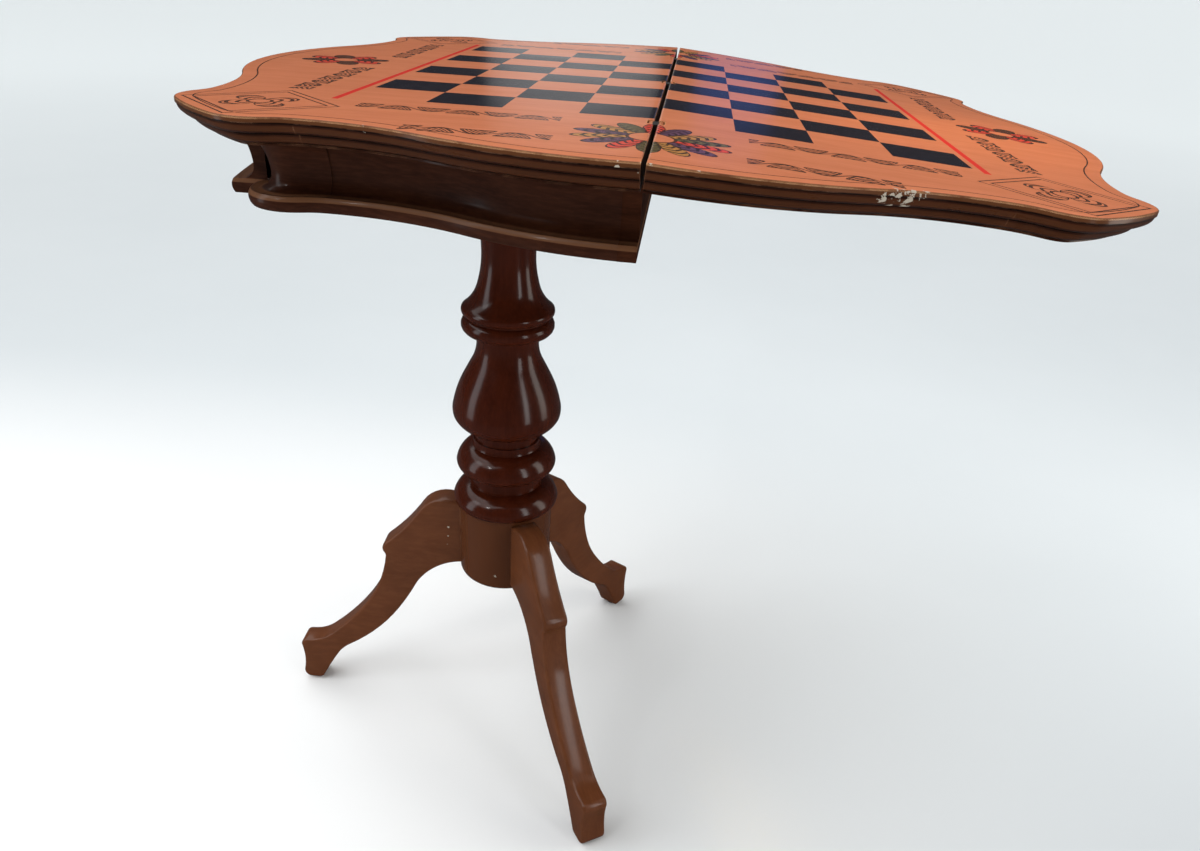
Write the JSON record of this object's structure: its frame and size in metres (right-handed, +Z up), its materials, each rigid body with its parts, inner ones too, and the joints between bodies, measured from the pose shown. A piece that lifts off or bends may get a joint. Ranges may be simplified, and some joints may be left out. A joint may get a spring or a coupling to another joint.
{
  "type": "chess table",
  "caption": "Folding chess table: lobed top split across its middle, one leaf fixed over a shallow moulded box, the other hinged to fold on to it, on a turned pedestal with sabre legs.",
  "frame": {"origin": "on the floor under the middle of the overall length, on the line that halves the table front to back", "axes": "+X along the length from the fixed leaf to the folding leaf, +Y away from the viewer of the picture, +Z up"},
  "size_m": [0.7651, 0.742, 0.745],
  "materials": {
    "top_veneer": "high gloss lacquer over printed veneer",
    "dark_wood": "gloss dark mahogany stain",
    "leg_wood": "satin mahogany stain",
    "inner_wood": "plain unfinished wood",
    "steel": "bright zinc plate",
    "brass": "dulled",
    "glide": "matt"
  },
  "bodies": {
    "base": {"leg_left": "leg_wood", "leg_front": "leg_wood", "leg_back": "leg_wood", "leg_dowels": "inner_wood", "foot_glides": "glide", "column_hub": "dark_wood", "column_collar": "dark_wood", "column_vase": "dark_wood", "column_neck": "dark_wood", "tie_rod": "steel", "tie_rod_nuts": "steel", "tie_rod_washers": "steel", "bearer": "inner_wood", "bearer_screws": "steel", "box_bottom": "inner_wood", "frieze_front": "dark_wood", "frieze_back": "dark_wood", "frieze_end": "dark_wood", "frieze_corner_front": "dark_wood", "frieze_corner_back": "dark_wood", "box_end_panel": "dark_wood", "glue_blocks": "inner_wood", "top_rails": "inner_wood", "top_rail_screws": "steel", "fixed_leaf_core": "inner_wood", "fixed_leaf_lipping": "dark_wood", "fixed_leaf_moulding_front": "dark_wood", "fixed_leaf_moulding_corner_front": "dark_wood", "fixed_leaf_moulding_end": "dark_wood", "fixed_leaf_moulding_corner_back": "dark_wood", "fixed_leaf_moulding_back": "dark_wood", "fixed_leaf_veneer": "top_veneer", "fixed_hinge_bodies": "brass", "fixed_hinge_pins": "steel", "fixed_hinge_screws": "brass"},
    "hinge_links": {"hinge_links": "brass"},
    "folding_leaf": {"folding_leaf_core": "inner_wood", "folding_leaf_lipping": "dark_wood", "folding_leaf_moulding_front": "dark_wood", "folding_leaf_moulding_corner_front": "dark_wood", "folding_leaf_moulding_end": "dark_wood", "folding_leaf_moulding_corner_back": "dark_wood", "folding_leaf_moulding_back": "dark_wood", "folding_leaf_veneer": "top_veneer", "folding_hinge_bodies": "brass", "folding_hinge_pins": "steel", "folding_hinge_screws": "brass"}
  },
  "joints": [
    {"name": "link_fold", "type": "hinge", "parent": "base", "child": "hinge_links", "pos_m": [0.01371, 0, 0.7421], "axis": [0, -1, 0], "range_deg": [0, 92.3]},
    {"name": "leaf_fold", "type": "hinge", "parent": "hinge_links", "child": "folding_leaf", "pos_m": [0.0201, 0, 0.74184], "axis": [0, -1, 0], "range_deg": [0, 92.3]}
  ],
  "couplings": [
    {"joint": "leaf_fold", "follows": "link_fold", "ratio": 1}
  ]
}
